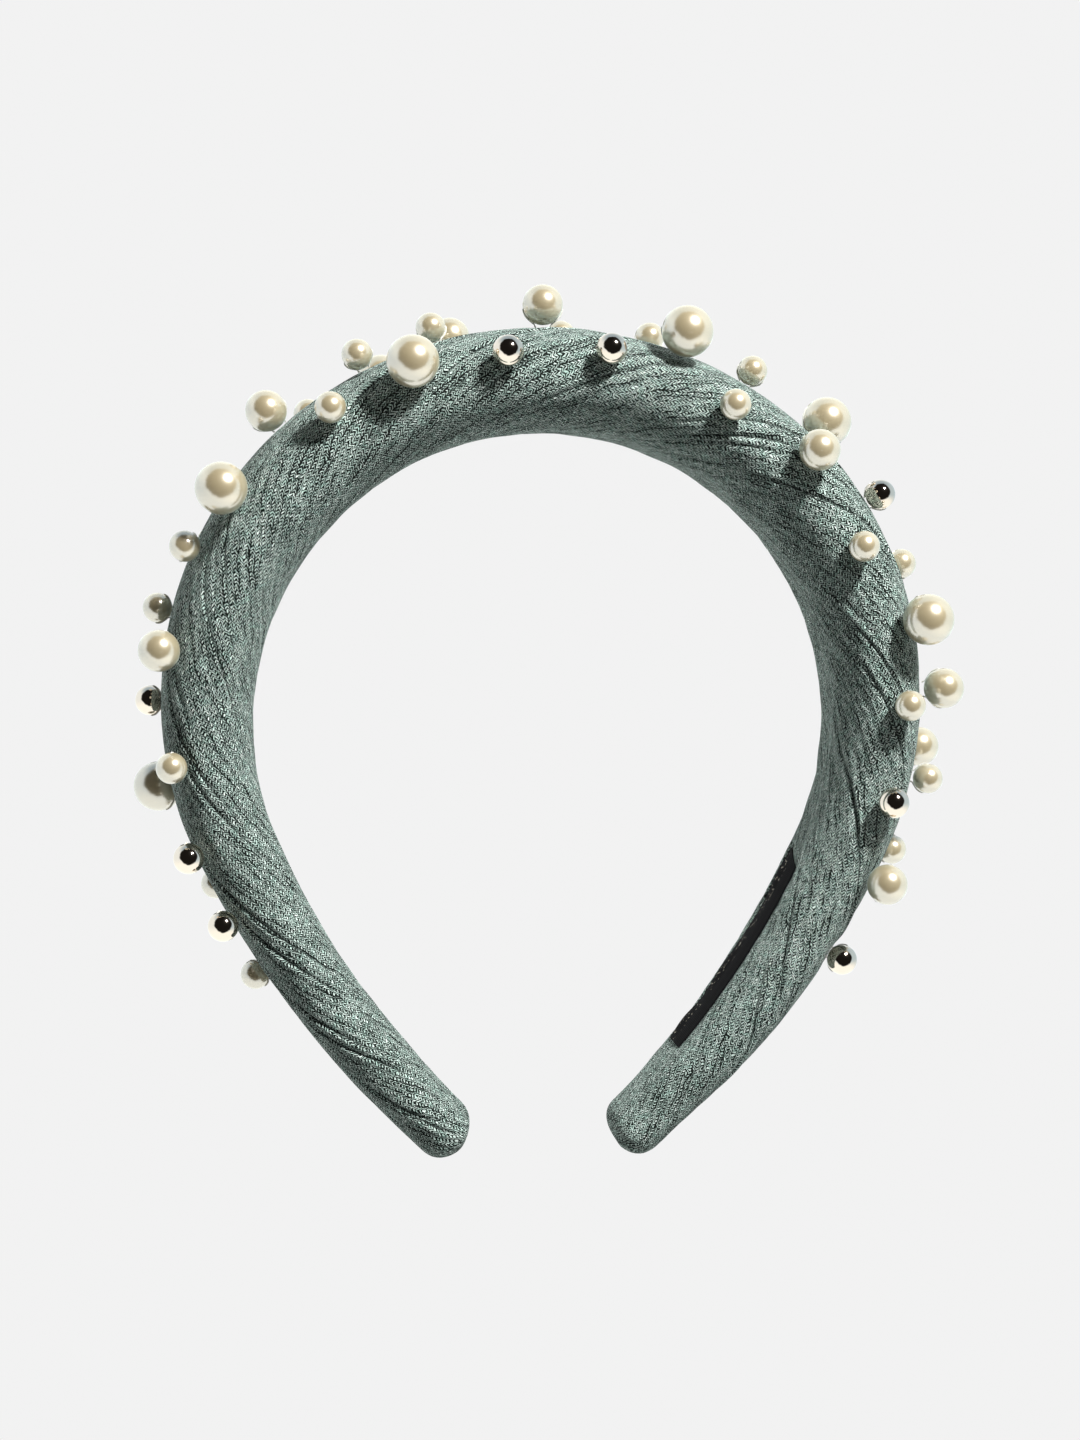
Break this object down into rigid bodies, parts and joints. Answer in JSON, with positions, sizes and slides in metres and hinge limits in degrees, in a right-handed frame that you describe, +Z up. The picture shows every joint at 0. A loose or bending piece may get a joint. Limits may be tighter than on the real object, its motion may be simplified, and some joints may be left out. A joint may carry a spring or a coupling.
{
  "type": "padded headband",
  "caption": "Padded knit-covered headband: a horseshoe hoop in foam under a sage-grey knit, with pearl and metal beads sewn over its outer side and a blank ribbon label inside the right leg.",
  "frame": {"origin": "middle of the cover's flat inner facet at the top of the arch, where the band rests on the head", "axes": "+Z up from the head, +X to the right leg, +Y towards the back of the head (the front faces -Y)"},
  "size_m": [0.1647, 0.053, 0.1737],
  "materials": {
    "cover_knit": "fine sage-grey melange knit with helical wales, matt",
    "label_ribbon": "black woven ribbon with a corded edge, low sheen",
    "hoop_plastic": "plain moulded plastic, unseen inside the cover",
    "foam_pad": "open-cell foam, unseen inside the cover",
    "pearl": "ivory pearlescent coating, soft gloss",
    "silver_bead": "polished plated metal, mirror gloss"
  },
  "bodies": {
    "crown": {"cover_crown": "cover_knit", "hoop_core_crown": "hoop_plastic", "foam_pad_crown": "foam_pad", "pearl_medium_2": "pearl", "pearl_small_4": "pearl", "pearl_small_5": "pearl", "pearl_small_6": "pearl", "pearl_large_3": "pearl", "pearl_small_7": "pearl", "pearl_medium_3": "pearl", "pearl_medium_4": "pearl", "pearl_small_8": "pearl", "silver_bead_2": "silver_bead", "silver_bead_3": "silver_bead", "pearl_small_9": "pearl", "pearl_large_4": "pearl", "pearl_small_10": "pearl", "pearl_small_11": "pearl", "pearl_large_5": "pearl", "pearl_medium_5": "pearl", "silver_bead_9": "silver_bead", "pearl_large_7": "pearl", "pearl_small_20": "pearl", "pearl_medium_10": "pearl"},
    "left_leg": {"cover_left_leg": "cover_knit", "hoop_core_left_leg": "hoop_plastic", "foam_pad_left_leg": "foam_pad", "pearl_large_1": "pearl", "pearl_small_1": "pearl", "silver_bead_1": "silver_bead", "pearl_medium_1": "pearl", "pearl_small_2": "pearl", "pearl_small_3": "pearl", "pearl_large_2": "pearl", "silver_bead_7": "silver_bead", "pearl_small_17": "pearl", "silver_bead_8": "silver_bead", "pearl_small_18": "pearl", "pearl_medium_9": "pearl", "pearl_small_19": "pearl"},
    "right_leg": {"cover_right_leg": "cover_knit", "hoop_core_right_leg": "hoop_plastic", "foam_pad_right_leg": "foam_pad", "label_ribbon": "label_ribbon", "silver_bead_4": "silver_bead", "pearl_small_12": "pearl", "pearl_small_13": "pearl", "pearl_large_6": "pearl", "pearl_medium_6": "pearl", "pearl_small_14": "pearl", "pearl_medium_7": "pearl", "pearl_small_15": "pearl", "silver_bead_5": "silver_bead", "pearl_small_16": "pearl", "pearl_medium_8": "pearl", "silver_bead_6": "silver_bead", "pearl_large_8": "pearl", "pearl_small_21": "pearl"}
  },
  "joints": [
    {"name": "left_flex", "type": "hinge", "parent": "crown", "child": "left_leg", "pos_m": [-0.06005, 0, -0.00712], "axis": [0, 1, 0], "range_deg": [0, 22], "stiffness_Nm_per_rad": 0.8},
    {"name": "right_flex", "type": "hinge", "parent": "crown", "child": "right_leg", "pos_m": [0.06005, 0, -0.00712], "axis": [0, -1, 0], "range_deg": [0, 22], "stiffness_Nm_per_rad": 0.8}
  ]
}
